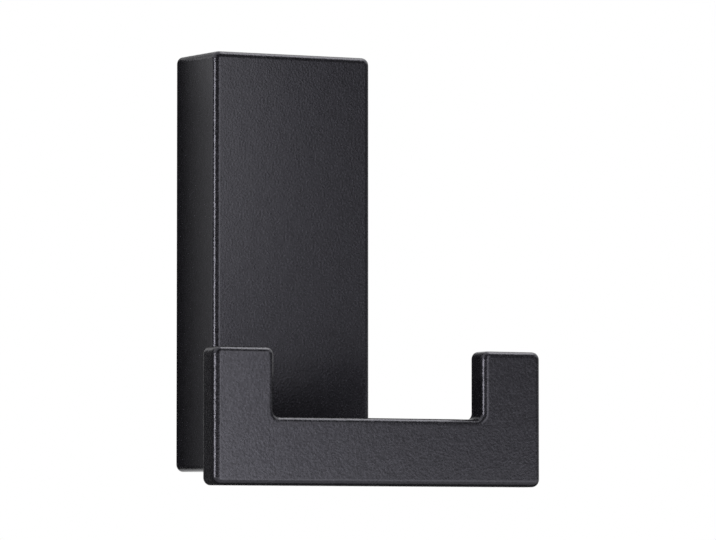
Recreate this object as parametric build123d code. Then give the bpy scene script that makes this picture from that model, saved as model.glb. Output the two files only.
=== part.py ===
from build123d import *
import os
from math import cos, radians, tan

# Coat hook: a hollow die-cast block that hides its wall bracket, with a two-armed hook standing off in front of it.
# Sizes are in millimetres. The wall is the plane y = 0, the front faces -Y and +Z is up.
# The origin is on the wall, midway between the bracket's two screw holes.

# Block
block_width = 34.0
block_height = 80.4
block_depth = 16.0
side_wall = 2.5
front_wall = 3.0

# Two-armed hook in front of the block
hook_length = 69.5
hook_height = 25.6
hook_thickness = 5.0
bar_height = 12.7
arm_width = 12.6
notch_radius = 1.2
stand_off = 30.0
hook_drop = 3.2

# Neck from the block to the hook, as thick as its blends leave room for
neck_width = 20.0
root_radius = 0.8
root_land = 0.2

# Outside of the casting: its rounded rims, and the corners of the flat faces inside them
edge_radius = 1.25
hook_back_radius = 0.5
face_corner_radius = 0.2

# Hollow in the back of the casting
core_draft = 1.0
core_corner_radius = 1.6
core_floor_radius = 1.0
rib_width = 2.0
rib_height = 2.0
rib_pitch = 15.0
catch_thickness = 3.5
catch_inset = 1.0
boss_width = 9.0
boss_height = 2.3

# Wall bracket, pressed from sheet
sheet = 1.5
bend_radius = 1.0
flange_reach = 8.0
flange_flare = 30.0
flange_corner_radius = 3.0
head_room = 3.0
screw_hole = 4.5
screw_pitch = 32.0

# Grub screw
grub_diameter = 4.0
grub_length = 6.0
grub_tip = 1.0
grub_from_wall = 6.0
grub_socket = 2.0
grub_socket_depth = 2.5
grub_chamfer = 0.4

# Clearances
seat_clearance = 0.2
side_clearance = 0.5
thread_clearance = 0.05

# Levels that several pieces share
block_top = block_height / 2
block_bottom = -block_top
hollow_width = block_width - 2 * side_wall
hollow_height = block_height - 2 * side_wall
hollow_depth = block_depth - front_wall
hook_bottom = block_bottom - hook_drop
hook_back = block_depth + stand_off
corner_radius = edge_radius + face_corner_radius
root_room = edge_radius + root_land + root_radius
neck_bottom = block_bottom + root_room
neck_top = hook_bottom + bar_height - root_room
neck_middle = (neck_bottom + neck_top) / 2
neck_thickness = neck_top - neck_bottom
bracket_width = hollow_width - 2 * side_clearance
flange_tip = hollow_height / 2 - head_room
flange_slope = tan(radians(flange_flare))
flange_seat = seat_clearance / cos(radians(flange_flare))

# Distance within which a point counts as lying on a plane
on_plane = 0.001


def flange_face(from_wall):
    """Height of the upper flange's outer face at a distance from the wall; the lower flange mirrors it."""
    return flange_tip - (flange_reach - from_wall) * flange_slope


def block_outside():
    """Block with rounded corners and a rounded front rim; its back rim lies square on the wall."""
    block = extrude(Plane.XZ * RectangleRounded(block_width, block_height, corner_radius), block_depth)
    front = block.faces().sort_by(Axis.Y)[0]
    return fillet(front.edges(), edge_radius)


def double_hook():
    """Flat bar with an arm standing up at each end, rounded on every edge and crisper at its back."""
    notch_width = hook_length - 2 * arm_width
    notch_height = hook_height - bar_height
    bar = Pos(0, hook_height / 2) * Rectangle(hook_length, hook_height)
    notch = Pos(0, bar_height + notch_height / 2) * Rectangle(notch_width, notch_height)
    outline = bar - notch
    outline = fillet(outline.vertices().group_by(Axis.Y)[1], notch_radius)
    levels = outline.vertices().group_by(Axis.Y)
    outline = fillet(levels[0] + levels[-1], corner_radius)
    hook = extrude(Plane.XZ.offset(hook_back) * Pos(0, hook_bottom) * outline, hook_thickness)
    front = hook.faces().sort_by(Axis.Y)[0]
    hook = fillet(front.edges(), edge_radius)
    back = hook.faces().sort_by(Axis.Y)[-1]
    return fillet(back.edges(), hook_back_radius)


def neck_ends(casting):
    """Edges where the neck runs into the block's front and the hook's back."""
    half_width = neck_width / 2 + on_plane
    half_thickness = neck_thickness / 2 + on_plane
    near_neck = casting.edges().filter_by_position(Axis.X, -half_width, half_width)
    near_neck = near_neck.filter_by_position(Axis.Z, neck_middle - half_thickness, neck_middle + half_thickness)
    ends = ShapeList()
    for end in (block_depth, hook_back):
        ends += near_neck.filter_by_position(Axis.Y, -end - on_plane, -end + on_plane)
    return ends


def casting_outside():
    """Block, neck and hook in one piece, with the neck blended into both."""
    neck_section = RectangleRounded(neck_width, neck_thickness, edge_radius)
    neck = extrude(Plane.XZ.offset(block_depth) * Pos(0, neck_middle) * neck_section, stand_off)
    casting = block_outside() + neck + double_hook()
    return fillet(neck_ends(casting), root_radius)


def stiffening_ribs():
    """Two upright ribs on the inside of the front wall."""
    rib = Box(rib_width, rib_height, block_height)
    middle = -(hollow_depth - rib_height / 2)
    return [Pos(side * rib_pitch / 2, middle, 0) * rib for side in (-1, 1)]


def grub_boss():
    """Thickening of the bottom wall round the grub screw, run out to the front wall."""
    run = block_depth - grub_from_wall
    round_end = Pos(0, -grub_from_wall) * Circle(boss_width / 2)
    plan = round_end + Pos(0, -grub_from_wall - run / 2) * Rectangle(boss_width, run)
    return extrude(Pos(0, 0, block_bottom) * plan, side_wall + boss_height)


def hanging_catch():
    """Bar across the top of the hollow whose slanted underside hangs on the bracket's upper flange."""
    far_side = catch_inset + catch_thickness
    section = Polygon(
        (-catch_inset, block_top),
        (-catch_inset, flange_face(catch_inset) + flange_seat),
        (-far_side, flange_face(far_side) + flange_seat),
        (-far_side, block_top),
        align=None,
    )
    return extrude(Plane.YZ * section, block_width / 2, both=True)


def hollow():
    """Drafted pocket in the back, less the ribs, boss and catch that stay standing in it."""
    mouth = Plane.XZ * RectangleRounded(hollow_width, hollow_height, core_corner_radius)
    pocket = extrude(mouth, hollow_depth, taper=core_draft)
    floor = pocket.faces().sort_by(Axis.Y)[0]
    pocket = fillet(floor.edges(), core_floor_radius)
    return pocket - stiffening_ribs() - grub_boss() - hanging_catch()


def grub_hole():
    """Tapped hole through the bottom wall and its boss, countersunk at its mouth."""
    radius = grub_diameter / 2
    hole = extrude(Circle(radius), side_wall + boss_height)
    mouth = Cone(radius + grub_chamfer, radius, grub_chamfer, align=(Align.CENTER, Align.CENTER, Align.MIN))
    return Pos(0, -grub_from_wall, block_bottom) * (hole + mouth)


def hook_body():
    """The casting: hollow block, neck and two-armed hook."""
    return casting_outside() - hollow() - grub_hole()


def wall_bracket():
    """Sheet bracket: a flat back with two screw holes and a flared flange at the top and the bottom."""
    foot = flange_face(0)
    outer_face = FilletPolyline(
        (-flange_reach, flange_tip),
        (0, foot),
        (0, -foot),
        (-flange_reach, -flange_tip),
        radius=bend_radius + sheet,
    )
    section = make_face(offset(outer_face, sheet, side=Side.RIGHT, closed=True))
    bracket = extrude(Plane.YZ * section, bracket_width / 2, both=True)
    corners = bracket.edges().filter_by(lambda edge: abs(edge.length - sheet) < on_plane)
    bracket = fillet(corners, flange_corner_radius)
    screws = [place * Circle(screw_hole / 2) for place in GridLocations(0, screw_pitch, 1, 2)]
    return bracket - extrude(Plane.XZ * (Sketch() + screws), sheet)


def grub_screw():
    """Socket grub screw with a blunt cone point that bears on the bracket's lower flange."""
    radius = grub_diameter / 2 - thread_clearance
    tip = grub_tip / 2
    outline = Polygon(
        (0, 0),
        (radius - grub_chamfer, 0),
        (radius, grub_chamfer),
        (radius, grub_length - (radius - tip)),
        (tip, grub_length),
        (0, grub_length),
        align=None,
    )
    screw = revolve(Plane.XZ * outline, Axis.Z)
    screw -= extrude(RegularPolygon(grub_socket / 2, 6, major_radius=False), grub_socket_depth)
    point = -flange_face(grub_from_wall + tip) - flange_seat
    return Pos(0, -grub_from_wall, point - grub_length) * screw


pieces = {
    "hook_body": hook_body(),
    "wall_bracket": wall_bracket(),
    "grub_screw": grub_screw(),
}

os.makedirs("parts", exist_ok=True)
for name, piece in pieces.items():
    export_step(piece, f"parts/{name}.step")
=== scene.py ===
import logging
from dataclasses import dataclass
from enum import Enum
from math import cos, hypot, pi, radians, sin, tau

import bmesh
import bpy
from mathutils import Matrix, Vector


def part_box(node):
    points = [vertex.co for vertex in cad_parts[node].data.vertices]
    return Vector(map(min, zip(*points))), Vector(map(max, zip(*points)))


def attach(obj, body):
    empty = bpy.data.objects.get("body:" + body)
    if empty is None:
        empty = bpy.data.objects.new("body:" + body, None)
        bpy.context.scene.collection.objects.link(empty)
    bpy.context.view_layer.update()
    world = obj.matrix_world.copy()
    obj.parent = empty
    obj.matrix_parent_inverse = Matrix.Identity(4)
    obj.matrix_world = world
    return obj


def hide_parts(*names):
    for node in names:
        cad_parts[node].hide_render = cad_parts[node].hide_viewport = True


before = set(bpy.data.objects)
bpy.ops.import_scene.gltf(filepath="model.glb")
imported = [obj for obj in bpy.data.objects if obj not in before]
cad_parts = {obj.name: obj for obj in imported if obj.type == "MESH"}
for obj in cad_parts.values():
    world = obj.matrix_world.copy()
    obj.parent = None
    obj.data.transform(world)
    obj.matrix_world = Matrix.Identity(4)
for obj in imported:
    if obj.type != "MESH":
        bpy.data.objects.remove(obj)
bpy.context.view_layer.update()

# Wall coat hook: a black die casting on a zinc-plated bracket, held by a threaded grub screw.
# Lengths are in metres. The wall is the plane y = 0, the front faces -Y and +Z is up.

log = logging.getLogger("coat_hook")

Colour = tuple[float, float, float]

MM = 0.001
WHITE = (1.0, 1.0, 1.0, 1.0)

# Values between which most of a noise pattern lies
NOISE_MIDDLE = (0.3, 0.7)


class Node(Enum):
    """Rigid pieces that come with the frame."""

    CASTING = "hook_body"
    BRACKET = "wall_bracket"
    GRUB_SCREW = "grub_screw"


class Slot(Enum):
    """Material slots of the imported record."""

    POWDER_COAT = "black_powder_coat"
    ZINC_PLATE = "zinc_plated_steel"
    BLACK_OXIDE = "blackened_steel"


class ShaderGraph:
    """Node tree of one material, with short ways to add the nodes that the finishes share."""

    def __init__(self, name: str) -> None:
        """Start an empty node material.

        Args:
            name: the finish's plain name.
        """
        self.material: bpy.types.Material = bpy.data.materials.new(name)
        self.material.use_nodes = True
        self.tree: bpy.types.NodeTree = self.material.node_tree
        self.tree.nodes.clear()
        self.place: bpy.types.NodeSocket = self.add("ShaderNodeTexCoord").outputs["Object"]

    def add(self, kind: str, **inputs: object) -> bpy.types.Node:
        """Add one node.

        Args:
            kind: the node's type name.
            inputs: input sockets by name, with _ for a space; a socket is linked and a value is set.

        Returns:
            The new node.
        """
        node = self.tree.nodes.new(kind)
        for name, value in inputs.items():
            socket = node.inputs[name.replace("_", " ")]
            if isinstance(value, bpy.types.NodeSocket):
                self.tree.links.new(value, socket)
            else:
                socket.default_value = value
        return node

    def stretched(self, x: float, y: float, z: float) -> bpy.types.NodeSocket:
        """Object coordinates scaled along each axis, so a pattern is drawn out where the scale is small."""
        return self.add("ShaderNodeMapping", Vector=self.place, Scale=(x, y, z)).outputs["Vector"]

    def noise(
        self, cell: float, octaves: float, along: bpy.types.NodeSocket | None = None
    ) -> bpy.types.NodeSocket:
        """Add a noise pattern.

        Args:
            cell: size of one blotch, in metres.
            octaves: how many finer patterns lie over it.
            along: the coordinates to read, or None for plain object coordinates.

        Returns:
            The pattern's value, about 0 to 1.
        """
        node = self.add("ShaderNodeTexNoise", Vector=along or self.place, Scale=1 / cell, Detail=octaves)
        return node.outputs["Fac"]

    def spread(self, value: bpy.types.NodeSocket, low: float, high: float) -> bpy.types.NodeSocket:
        """Stretch a noise pattern's usual middle band over a range.

        Args:
            value: the pattern.
            low: result for the pattern's dark blotches.
            high: result for its light blotches.

        Returns:
            The stretched value.
        """
        return self.between(value, NOISE_MIDDLE, (low, high))

    def between(
        self, value: bpy.types.NodeSocket, ends: tuple[float, float], results: tuple[float, float]
    ) -> bpy.types.NodeSocket:
        """Run evenly from one result to another as a value goes from one end to the other.

        Args:
            value: what is read.
            ends: its values at the two ends.
            results: the results there.

        Returns:
            The result, which stays level past both ends.
        """
        node = self.add(
            "ShaderNodeMapRange",
            Value=value,
            From_Min=ends[0],
            From_Max=ends[1],
            To_Min=results[0],
            To_Max=results[1],
        )
        return node.outputs["Result"]

    def product(self, first: bpy.types.NodeSocket, second: bpy.types.NodeSocket) -> bpy.types.NodeSocket:
        """Multiply two values.

        Args:
            first: one value.
            second: the other value.

        Returns:
            Their product.
        """
        node = self.tree.nodes.new("ShaderNodeMath")
        node.operation = "MULTIPLY"
        self.tree.links.new(first, node.inputs[0])
        self.tree.links.new(second, node.inputs[1])
        return node.outputs["Value"]

    def tint(self, factor: bpy.types.NodeSocket, first: Colour, second: Colour) -> bpy.types.NodeSocket:
        """Blend two colours by a pattern.

        Args:
            factor: 0 for the first colour, 1 for the second.
            first: linear colour.
            second: linear colour.

        Returns:
            The blended colour.
        """
        node = self.tree.nodes.new("ShaderNodeMix")
        node.data_type = "RGBA"
        self.tree.links.new(factor, node.inputs["Factor"])
        node.inputs["A"].default_value = (*first, 1.0)
        node.inputs["B"].default_value = (*second, 1.0)
        return node.outputs["Result"]

    def relief(
        self, height: bpy.types.NodeSocket, depth: float, under: bpy.types.NodeSocket | None = None
    ) -> bpy.types.NodeSocket:
        """Turn a pattern into relief.

        Args:
            height: the pattern.
            depth: height in metres between its 0 and its 1.
            under: the normal of a coarser relief to lay this one on, or None.

        Returns:
            The bent normal.
        """
        node = self.add("ShaderNodeBump", Strength=1.0, Distance=depth, Height=height)
        if under is not None:
            self.tree.links.new(under, node.inputs["Normal"])
        return node.outputs["Normal"]

    def surface(self, shader: bpy.types.Node) -> bpy.types.Material:
        """Make a shader node the material's surface, and return the material."""
        self.add("ShaderNodeOutputMaterial", Surface=shader.outputs[0])
        return self.material


@dataclass(frozen=True)
class PowderCoat:
    """Satin black powder coat: a fine leathery grain over a slow orange peel.

    Attributes:
        colour: linear colour of the coat's thick places.
        thin_colour: linear colour of its thinner places.
        gloss_tint: tint of the shine.
        smooth, rough: roughness of the glossiest and the dullest places.
        shine, pit_shine: strength of the shine on the grain's tops and in its pits.
        film, film_roughness: weight and roughness of the clear resin that flowed out on top.
        grain_cell, grain_depth: size and height of the fine grain.
        grain_octaves: finer patterns that lie over the grain.
        peel_cell, peel_depth: size and height of the orange peel.
        peel_octaves: finer patterns that lie over the orange peel.
        slot: the record's slot that the coat stands for.
    """

    colour: Colour = (0.0070, 0.0067, 0.0082)
    thin_colour: Colour = (0.0092, 0.0089, 0.0109)
    gloss_tint: Colour = (0.86, 0.84, 1.0)
    smooth: float = 0.22
    rough: float = 0.29
    shine: float = 0.71
    pit_shine: float = 0.45
    film: float = 0.25
    film_roughness: float = 0.16
    grain_cell: float = 0.40 * MM
    grain_depth: float = 0.055 * MM
    grain_octaves: float = 2.5
    peel_cell: float = 2.4 * MM
    peel_depth: float = 0.02 * MM
    peel_octaves: float = 1.0
    slot: Slot = Slot.POWDER_COAT

    def material(self) -> bpy.types.Material:
        """Build the coat's node material.

        Returns:
            The new material.
        """
        graph = ShaderGraph("black_satin_powder_coat")
        peel = graph.noise(self.peel_cell, self.peel_octaves)
        grain = graph.noise(self.grain_cell, self.grain_octaves)
        flow = graph.relief(peel, self.peel_depth)
        shader = graph.add(
            "ShaderNodeBsdfPrincipled",
            Base_Color=graph.tint(graph.spread(peel, 0.0, 1.0), self.colour, self.thin_colour),
            Roughness=graph.spread(grain, self.smooth, self.rough),
            Normal=graph.relief(grain, self.grain_depth, under=flow),
            Specular_IOR_Level=graph.spread(grain, self.pit_shine, self.shine),
            Specular_Tint=(*self.gloss_tint, 1.0),
            Coat_Weight=self.film,
            Coat_Roughness=self.film_roughness,
            Coat_Normal=flow,
        )
        return graph.surface(shader)


@dataclass(frozen=True)
class ZincPlate:
    """Bright zinc plate on rolled sheet: a fine rolling grain with a faint bloom.

    Attributes:
        colour: linear colour of the bright plate.
        bloom_colour: linear colour of its duller patches.
        smooth, rough: roughness of the brightest and the dullest places.
        grain_cell, grain_draw: width of the rolling grain and how far it is drawn out.
        grain_depth: height of the rolling grain.
        grain_octaves: finer patterns that lie over the rolling grain.
        bloom_cell, bloom_octaves: size of the duller patches, and finer patterns that lie over them.
        slot: the record's slot that the plate stands for.
    """

    colour: Colour = (0.65, 0.66, 0.68)
    bloom_colour: Colour = (0.57, 0.59, 0.62)
    smooth: float = 0.26
    rough: float = 0.36
    grain_cell: float = 0.14 * MM
    grain_draw: float = 18.0
    grain_depth: float = 0.004 * MM
    grain_octaves: float = 2.0
    bloom_cell: float = 1.5 * MM
    bloom_octaves: float = 4.0
    slot: Slot = Slot.ZINC_PLATE

    def material(self) -> bpy.types.Material:
        """Build the plate's node material.

        Returns:
            The new material.
        """
        graph = ShaderGraph("bright_zinc_plate")
        bloom = graph.noise(self.bloom_cell, self.bloom_octaves)
        rolled = graph.stretched(1.0, 1.0, 1 / self.grain_draw)
        grain = graph.noise(self.grain_cell, self.grain_octaves, along=rolled)
        shader = graph.add(
            "ShaderNodeBsdfPrincipled",
            Base_Color=graph.tint(graph.spread(bloom, 0.0, 1.0), self.colour, self.bloom_colour),
            Metallic=1.0,
            Roughness=graph.spread(bloom, self.smooth, self.rough),
            Normal=graph.relief(grain, self.grain_depth),
        )
        return graph.surface(shader)


@dataclass(frozen=True)
class BlackOxide:
    """Oiled black oxide on steel.

    Attributes:
        colour: linear colour of the oxide.
        worn_colour: linear colour of its thinner places.
        smooth, rough: roughness of the oiled and the dry places.
        metal: how far the steel shows through as metal.
        mottle_cell, mottle_depth: size and height of the mottling.
        mottle_octaves: finer patterns that lie over the mottling.
        slot: the record's slot that the oxide stands for; not used.
    """

    colour: Colour = (0.022, 0.022, 0.024)
    worn_colour: Colour = (0.06, 0.058, 0.056)
    smooth: float = 0.28
    rough: float = 0.5
    metal: float = 0.7
    mottle_cell: float = 0.4 * MM
    mottle_depth: float = 0.002 * MM
    mottle_octaves: float = 3.0
    slot: Slot = Slot.BLACK_OXIDE

    def material(self) -> bpy.types.Material:
        """Build the oxide's node material.

        Returns:
            The new material.
        """
        graph = ShaderGraph("black_oxide")
        mottle = graph.noise(self.mottle_cell, self.mottle_octaves)
        shader = graph.add(
            "ShaderNodeBsdfPrincipled",
            Base_Color=graph.tint(graph.spread(mottle, 0.0, 1.0), self.colour, self.worn_colour),
            Metallic=self.metal,
            Roughness=graph.spread(mottle, self.smooth, self.rough),
            Normal=graph.relief(mottle, self.mottle_depth),
        )
        return graph.surface(shader)


Finish = PowderCoat | ZincPlate | BlackOxide


def dress_node(node: Node, finish: Finish) -> None:
    """Give a frame node its finish.

    Args:
        node: the piece to dress.
        finish: what it is finished with.
    """
    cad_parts[node.value].material_slots[0].material = finish.material()
    log.info("%s dressed with %s", node.value, finish.slot.value)


def piece_from(name: str, mesh: bmesh.types.BMesh) -> bpy.types.Object:
    """Make a scene object at the origin from a finished bmesh, which is freed.

    Args:
        name: the piece's name.
        mesh: its shape, in place.

    Returns:
        The new object.
    """
    data = bpy.data.meshes.new(name)
    mesh.to_mesh(data)
    mesh.free()
    piece = bpy.data.objects.new(name, data)
    bpy.context.scene.collection.objects.link(piece)
    return piece


@dataclass(frozen=True)
class Casting:
    """The block, neck and two-armed hook, cast in one piece.

    Attributes:
        coat: its finish.
    """

    coat: PowderCoat = PowderCoat()

    def dress(self) -> None:
        """Coat the casting."""
        dress_node(Node.CASTING, self.coat)


@dataclass(frozen=True)
class GrubScrew:
    """Socket grub screw with a cut thread, which stands for the plain CAD one.

    Attributes:
        pitch: rise of one turn of the thread.
        thread_depth: how deep the thread is cut.
        crest, root: widths of its flat crest and root, as shares of the pitch.
        point_radius: radius of the blunt point.
        chamfer: lead-in at the socket end.
        socket: hexagon's size across its flats.
        socket_depth: depth of the hexagon's flats.
        drill_depth: further depth of the drilled cone below them.
        steps: facets in one turn.
        turns_below: turns swept below the rod, to be cut off.
        turns_spare: turns swept in all, past the whole turns that its length holds.
        touching: distance within which two points count as one.
        finish: its finish.
    """

    pitch: float = 0.7 * MM
    thread_depth: float = 0.4 * MM
    crest: float = 0.14
    root: float = 0.24
    point_radius: float = 0.5 * MM
    chamfer: float = 0.4 * MM
    socket: float = 2.0 * MM
    socket_depth: float = 2.5 * MM
    drill_depth: float = 0.5 * MM
    steps: int = 48
    turns_below: int = 2
    turns_spare: int = 3
    touching: float = 0.0007 * MM
    finish: BlackOxide = BlackOxide()

    def build(self) -> bpy.types.Object:
        """Model the screw where the CAD screw stands, and let it ride on the body.

        Returns:
            The finished piece.
        """
        low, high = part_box(Node.GRUB_SCREW.value)
        radius = (high.x - low.x) / 2
        length = high.z - low.z
        mesh = self.threaded_rod(radius, length)
        self.trim_to_outline(mesh, radius, length)
        self.close_point(mesh, length)
        self.sink_socket(mesh)
        bmesh.ops.recalc_face_normals(mesh, faces=mesh.faces)
        seat = Vector(((low.x + high.x) / 2, (low.y + high.y) / 2, low.z))
        bmesh.ops.translate(mesh, verts=mesh.verts, vec=seat)
        piece = piece_from("threaded_grub_screw", mesh)
        piece.data.materials.append(self.finish.material())
        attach(piece, "root")
        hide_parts(Node.GRUB_SCREW.value)
        log.info("%s built with %d faces", piece.name, len(piece.data.polygons))
        return piece

    def threaded_rod(self, radius: float, length: float) -> bmesh.types.BMesh:
        """Sweep one thread's profile round and up, and cut the rod off square at both ends.

        Args:
            radius: radius over the crests.
            length: length of the rod.

        Returns:
            The rod's open skin, standing on z = 0.
        """
        mesh = bmesh.new()
        flank = (1 - self.crest - self.root) / 2
        rises = (0.0, self.root, self.root + flank, self.root + flank + self.crest, 1.0)
        valley = radius - self.thread_depth
        radii = (valley, valley, radius, radius, valley)
        turns = int(length / self.pitch) + self.turns_spare
        start = -self.turns_below * self.pitch
        corners = [mesh.verts.new((r, 0.0, start + rise * self.pitch)) for r, rise in zip(radii, rises)]
        profile = [mesh.edges.new(pair) for pair in zip(corners, corners[1:])]
        bmesh.ops.spin(
            mesh,
            geom=corners + profile,
            axis=(0.0, 0.0, 1.0),
            cent=(0.0, 0.0, 0.0),
            dvec=(0.0, 0.0, self.pitch / self.steps),
            angle=tau * turns,
            steps=self.steps * turns,
        )
        bmesh.ops.remove_doubles(mesh, verts=mesh.verts, dist=self.touching)
        for height, side in ((0.0, -1.0), (length, 1.0)):
            bmesh.ops.bisect_plane(
                mesh,
                geom=mesh.verts[:] + mesh.edges[:] + mesh.faces[:],
                plane_co=(0.0, 0.0, height),
                plane_no=(0.0, 0.0, side),
                clear_outer=True,
            )
        return mesh

    def trim_to_outline(self, mesh: bmesh.types.BMesh, radius: float, length: float) -> None:
        """Turn the thread down to the chamfer at one end and the cone point at the other.

        Args:
            mesh: the rod's skin.
            radius: radius over the crests.
            length: length of the rod.
        """
        for vertex in mesh.verts:
            from_middle = hypot(vertex.co.x, vertex.co.y)
            limit = min(radius - self.chamfer + vertex.co.z, self.point_radius + length - vertex.co.z)
            if from_middle > limit:
                share = limit / from_middle
                vertex.co.xy = vertex.co.xy * share

    def close_point(self, mesh: bmesh.types.BMesh, length: float) -> None:
        """Close the blunt point with a flat face.

        Args:
            mesh: the rod's skin.
            length: height of the point.
        """
        rim = self.rim_at(mesh, length)
        bmesh.ops.contextual_create(mesh, geom=rim)

    def sink_socket(self, mesh: bmesh.types.BMesh) -> None:
        """Face the lower end, sink the hexagon in it and close it with a drilled cone.

        Args:
            mesh: the rod's skin, open at z = 0.
        """
        rim = self.rim_at(mesh, 0.0)
        corner_radius = self.socket / 2 / cos(pi / 6)
        hexagon = bmesh.ops.create_circle(mesh, segments=6, radius=corner_radius)["verts"]
        mouth = list({edge for vertex in hexagon for edge in vertex.link_edges})
        bmesh.ops.bridge_loops(mesh, edges=rim + mouth)
        sides = bmesh.ops.extrude_edge_only(mesh, edges=mouth)["geom"]
        floor = [part for part in sides if isinstance(part, bmesh.types.BMVert)]
        bmesh.ops.translate(mesh, verts=floor, vec=(0.0, 0.0, self.socket_depth))
        floor_edges = [
            part
            for part in sides
            if isinstance(part, bmesh.types.BMEdge) and all(vertex in floor for vertex in part.verts)
        ]
        cone = bmesh.ops.extrude_edge_only(mesh, edges=floor_edges)["geom"]
        tip = [part for part in cone if isinstance(part, bmesh.types.BMVert)]
        bmesh.ops.pointmerge(mesh, verts=tip, merge_co=(0.0, 0.0, self.socket_depth + self.drill_depth))

    def rim_at(self, mesh: bmesh.types.BMesh, height: float) -> list[bmesh.types.BMEdge]:
        """Find the open edges at one height.

        Args:
            mesh: the rod's skin.
            height: where to look.

        Returns:
            The open edges that lie there.
        """
        return [
            edge
            for edge in mesh.edges
            if edge.is_boundary and all(abs(vertex.co.z - height) < self.touching for vertex in edge.verts)
        ]


@dataclass(frozen=True)
class Fixing:
    """What holds the casting to the wall: the sheet bracket and the grub screw.

    Attributes:
        plate: the bracket's finish.
        screw: the grub screw.
    """

    plate: ZincPlate = ZincPlate()
    screw: GrubScrew = GrubScrew()

    def dress(self) -> None:
        """Plate the bracket and put the threaded screw in its hole."""
        dress_node(Node.BRACKET, self.plate)
        self.screw.build()


def seen_at(turn: float, rise: float, distance: float) -> Vector:
    """Find the point that the hook sees in a direction.

    Args:
        turn: degrees round from straight in front, positive towards the hook's left.
        rise: degrees above the horizon.
        distance: metres from the origin.

    Returns:
        The point.
    """
    level = cos(radians(rise)) * distance
    return Vector((-sin(radians(turn)) * level, -cos(radians(turn)) * level, sin(radians(rise)) * distance))


@dataclass(frozen=True)
class Panel:
    """A flat rectangle that hangs in the studio.

    Attributes:
        name: its name.
        middle: where its middle hangs.
        width, height: its size.
        faces: the point that it faces.
    """

    name: str
    middle: Vector
    width: float
    height: float
    faces: Vector = Vector((0.0, 0.0, 0.0))

    def placed(self) -> Matrix:
        """Work out where the panel hangs.

        Returns:
            The matrix of a panel that looks along its own -Z.
        """
        away = self.middle - self.faces
        return Matrix.Translation(self.middle) @ away.to_track_quat("Z", "Y").to_matrix().to_4x4()


@dataclass(frozen=True)
class Softbox(Panel):
    """A lit panel.

    Attributes:
        radiance: brightness of its face, where 1 is white.
    """

    radiance: float = 1.0

    def build(self) -> None:
        """Hang the lamp."""
        data = bpy.data.lights.new(self.name, "AREA")
        data.shape = "RECTANGLE"
        data.size = self.width
        data.size_y = self.height
        data.energy = self.radiance * pi * self.width * self.height
        lamp = bpy.data.objects.new(self.name, data)
        lamp.matrix_world = self.placed()
        lamp.visible_camera = False
        bpy.context.scene.collection.objects.link(lamp)


@dataclass(frozen=True)
class Flag(Panel):
    """A card that only reflections see.

    Attributes:
        grey: brightness of its face, where 1 is white.
    """

    grey: float = 0.03

    def build(self) -> None:
        """Stand the card up."""
        mesh = bmesh.new()
        # A square of one metre, scaled to the card's size
        bmesh.ops.create_grid(mesh, x_segments=1, y_segments=1, size=0.5)
        bmesh.ops.scale(mesh, verts=mesh.verts, vec=(self.width, self.height, 1.0))
        bmesh.ops.transform(mesh, verts=mesh.verts, matrix=self.placed())
        card = piece_from(self.name, mesh)
        graph = ShaderGraph(self.name)
        shade = graph.add("ShaderNodeEmission", Strength=self.brightness(graph))
        card.data.materials.append(graph.surface(shade))
        card.visible_camera = False
        card.visible_diffuse = False
        card.visible_shadow = False

    def brightness(self, graph: ShaderGraph) -> float | bpy.types.NodeSocket:
        """Say how bright the card's face is; the graph is there for a face that isn't even."""
        return self.grey


@dataclass(frozen=True)
class WallBeside(Flag):
    """The wall on the hook's left as its side faces mirror it: shaded by the block and lighter further out.

    Attributes:
        bands: distances from the hook's middle, each with the brightness there.
        low_from, low_to, low_share: heights between which it dims, and the share that is left below them.
        high_from, high_to, high_share: heights between which it brightens, and the share above them.
    """

    name: str = "wall_beside"
    middle: Vector = Vector((-0.071, 0.003, -0.019))
    width: float = 0.108
    height: float = 0.122
    faces: Vector = Vector((-0.071, -1.0, -0.019))
    bands: tuple[tuple[float, float], ...] = (
        (19.5 * MM, 0.01),
        (27.0 * MM, 0.38),
        (31.0 * MM, 0.44),
        (37.0 * MM, 0.90),
        (44.0 * MM, 0.90),
        (51.0 * MM, 0.06),
    )
    low_from: float = 28 * MM
    low_to: float = -30 * MM
    low_share: float = 0.62
    high_from: float = 30 * MM
    high_to: float = 41 * MM
    high_share: float = 1.6

    def brightness(self, graph: ShaderGraph) -> bpy.types.NodeSocket:
        """Run from band to band away from the block, dim towards the foot and brighten towards the top.

        Args:
            graph: the card's node tree.

        Returns:
            The brightness.
        """
        axes = graph.add("ShaderNodeSeparateXYZ", Vector=graph.place)
        first, last = self.bands[0][0], self.bands[-1][0]
        share = graph.between(axes.outputs["X"], (-first, -last), (0.0, 1.0))
        ramp = graph.add("ShaderNodeValToRGB", Fac=share)
        stops = ramp.color_ramp.elements
        for number, (distance, level) in enumerate(self.bands):
            position = (distance - first) / (last - first)
            stop = stops[number] if number < len(stops) else stops.new(position)
            stop.position = position
            stop.color = (level, level, level, 1.0)
        dimmed = graph.between(axes.outputs["Z"], (self.low_to, self.low_from), (self.low_share, 1.0))
        lifted = graph.between(axes.outputs["Z"], (self.high_from, self.high_to), (1.0, self.high_share))
        return graph.product(ramp.outputs["Color"], graph.product(dimmed, lifted))


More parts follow.
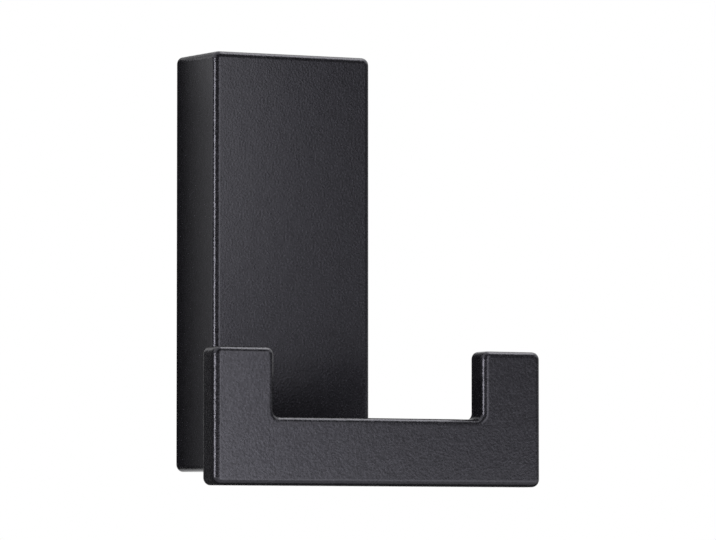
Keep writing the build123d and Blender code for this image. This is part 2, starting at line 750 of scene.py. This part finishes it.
@dataclass(frozen=True)
class Floor:
    """Pale floor that keeps the hook's shadow and runs out into white.

    Attributes:
        level: its height.
        reach: half its length.
        colour: linear colour near the hook.
        fade_from, fade_to: distances between which it turns into plain white.
    """

    level: float = -150 * MM
    reach: float = 8.0
    colour: Colour = (0.82, 0.82, 0.82)
    fade_from: float = 0.25
    fade_to: float = 0.9

    def build(self) -> None:
        """Lay the floor."""
        mesh = bmesh.new()
        bmesh.ops.create_grid(mesh, x_segments=1, y_segments=1, size=self.reach)
        bmesh.ops.translate(mesh, verts=mesh.verts, vec=(0.0, 0.0, self.level))
        floor = piece_from("floor", mesh)
        floor.data.materials.append(self.material())
        log.info("floor laid at %.0f mm", self.level / MM)

    def material(self) -> bpy.types.Material:
        """Build the floor's node material: matt paint that runs out into white as it is seen or mirrored.

        Returns:
            The new material.
        """
        graph = ShaderGraph("pale_floor")
        away = graph.tree.nodes.new("ShaderNodeVectorMath")
        away.operation = "LENGTH"
        graph.tree.links.new(graph.place, away.inputs[0])
        fade = graph.add(
            "ShaderNodeMapRange", Value=away.outputs["Value"], From_Min=self.fade_from, From_Max=self.fade_to
        )
        fade.interpolation_type = "SMOOTHSTEP"
        shown = graph.product(fade.outputs["Result"], seen_or_mirrored(graph.tree))
        paint = graph.add("ShaderNodeBsdfDiffuse", Color=(*self.colour, 1.0))
        white = graph.add("ShaderNodeEmission", Color=WHITE, Strength=1.0)
        mix = graph.tree.nodes.new("ShaderNodeMixShader")
        graph.tree.links.new(shown, mix.inputs[0])
        graph.tree.links.new(paint.outputs[0], mix.inputs[1])
        graph.tree.links.new(white.outputs[0], mix.inputs[2])
        return graph.surface(mix)


def seen_or_mirrored(tree: bpy.types.NodeTree) -> bpy.types.NodeSocket:
    """Add nodes that give 1 for rays from the camera, a reflection or glass, and 0 for the rest.

    Args:
        tree: the node tree to add them to.

    Returns:
        The socket that gives it.
    """
    path = tree.nodes.new("ShaderNodeLightPath")
    seen = path.outputs["Is Camera Ray"]
    for other in ("Is Glossy Ray", "Is Transmission Ray"):
        either = tree.nodes.new("ShaderNodeMath")
        either.operation = "MAXIMUM"
        tree.links.new(seen, either.inputs[0])
        tree.links.new(path.outputs[other], either.inputs[1])
        seen = either.outputs["Value"]
    return seen


@dataclass(frozen=True)
class Studio:
    """Plain soft studio: white surroundings, softboxes, cards for what else the hook mirrors, and two dark
    cards of painted shade close to the hook.

    Attributes:
        ambient: strength of the even light from all round.
        floor: the floor.
        wall: the wall beside the block.
        softboxes: the lamps.
        flags: the cards.
    """

    ambient: float = 0.6
    floor: Floor = Floor()
    wall: WallBeside = WallBeside()
    softboxes: tuple[Softbox, ...] = (
        Softbox("left_softbox", seen_at(74.5, 3.0, 0.9), width=0.205, height=0.36, radiance=10.2),
        Softbox("upper_fill", seen_at(-18.0, 13.5, 0.216), width=0.044, height=0.09, radiance=1.3),
        Softbox("lower_fill", seen_at(-18.0, -10.5, 0.214), width=0.044, height=0.09, radiance=0.32),
        Softbox("front_strip", seen_at(-5.0, 1.0, 0.21), width=0.051, height=0.18, radiance=2.1),
        Softbox("top_softbox", seen_at(-92.0, 60.0, 0.8), width=0.4, height=0.3, radiance=2.6),
    )
    flags: tuple[Flag, ...] = (
        Flag("camera_side", seen_at(40.0, 10.0, 1.3), width=1.75, height=0.75),
        Flag("left_back", seen_at(116.0, 6.0, 0.6), width=0.80, height=0.30),
        Flag("front_card", seen_at(-15.5, 0.0, 0.6), width=0.48, height=0.17, grey=0.33),
        Flag("front_upper", seen_at(-15.5, 19.0, 0.6), width=0.50, height=0.26, grey=0.08),
        Flag("front_low", seen_at(-12.0, -19.0, 0.28), width=0.40, height=0.10, grey=1.45),
        Flag("right_front", seen_at(-50.0, 8.0, 0.5), width=0.27, height=0.26, grey=0.1),
        Flag("right_side", seen_at(-78.0, 5.0, 0.8), width=0.52, height=0.34, grey=0.2),
        Flag("right_back", seen_at(-122.0, 5.0, 0.8), width=0.84, height=0.34, grey=0.5),
        Flag("behind", seen_at(178.0, 21.0, 0.6), width=0.44, height=0.28, grey=0.25),
        # Painted shade: a black card in the notch between the arms, just above the bar, seen only in
        # reflections; it darkens the block's lower front above the bar.
        Flag(
            "painted_shade_behind_bar",
            Vector((0.0, -0.0445, -0.027)),
            width=0.043,
            height=0.0088,
            faces=Vector((0.0, 1.0, -0.027)),
            grey=0.0,
        ),
        # Painted shade: a dark card just under the hook, seen only in reflections; it darkens the hook's
        # lower edges.
        Flag(
            "painted_shade_under_hook",
            Vector((0.0, -0.0385, -0.048)),
            width=0.16,
            height=0.027,
            faces=Vector((0.0, -0.0385, 0.0)),
            grey=0.05,
        ),
        Flag("front_ceiling", seen_at(0.0, 47.0, 1.0), width=1.6, height=0.75),
    )

    def build(self) -> None:
        """Set the surroundings, the floor, the lamps and the cards."""
        self.surround()
        self.floor.build()
        for panel in (self.wall, *self.softboxes, *self.flags):
            panel.build()
            log.info("%s hung", panel.name)

    def surround(self) -> None:
        """Make the surroundings white where they are seen or mirrored, and a plain soft light elsewhere."""
        world = bpy.data.worlds.new("white_surroundings")
        world.use_nodes = True
        tree = world.node_tree
        tree.nodes.clear()
        glow = tree.nodes.new("ShaderNodeBackground")
        glow.inputs["Strength"].default_value = self.ambient
        white = tree.nodes.new("ShaderNodeBackground")
        for background in (glow, white):
            background.inputs["Color"].default_value = WHITE
        mix = tree.nodes.new("ShaderNodeMixShader")
        output = tree.nodes.new("ShaderNodeOutputWorld")
        tree.links.new(seen_or_mirrored(tree), mix.inputs[0])
        tree.links.new(glow.outputs[0], mix.inputs[1])
        tree.links.new(white.outputs[0], mix.inputs[2])
        tree.links.new(mix.outputs[0], output.inputs["Surface"])
        bpy.context.scene.world = world


@dataclass(frozen=True)
class Camera:
    """The view of the photograph, from the hook's left and a little below it.

    Attributes:
        turn: degrees that the camera stands round to the hook's left.
        tilt: degrees that it looks up.
        distance: level distance from the origin, in metres.
        aside: how far to the right of the origin it aims.
        height: its height.
        focal_pixels: focal length in pixels of the picture.
        picture_width: the picture's width in pixels.
        sensor: width of the sensor in millimetres.
    """

    turn: float = 28.55
    tilt: float = 2.94
    distance: float = 1071.6 * MM
    aside: float = 20.14 * MM
    height: float = -55.78 * MM
    focal_pixels: float = 5504.0
    picture_width: int = 716
    sensor: float = 36.0

    def build(self) -> None:
        """Set the camera up and make it the scene's own."""
        turn = radians(self.turn)
        look = Vector((sin(turn), cos(turn), 0.0))
        right = Vector((cos(turn), -sin(turn), 0.0))
        data = bpy.data.cameras.new("photo_camera")
        data.sensor_width = self.sensor
        data.lens = self.focal_pixels / self.picture_width * self.sensor
        camera = bpy.data.objects.new("photo_camera", data)
        camera.location = right * self.aside - look * self.distance + Vector((0.0, 0.0, self.height))
        camera.rotation_euler = (pi / 2 + radians(self.tilt), 0.0, -turn)
        bpy.context.scene.collection.objects.link(camera)
        bpy.context.scene.camera = camera


def main() -> None:
    """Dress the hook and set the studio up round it."""
    logging.basicConfig(level=logging.INFO, format="%(name)s: %(message)s")
    Casting().dress()
    Fixing().dress()
    Studio().build()
    Camera().build()
    bpy.context.scene.view_settings.view_transform = "Standard"


if __name__ == "__main__":
    main()
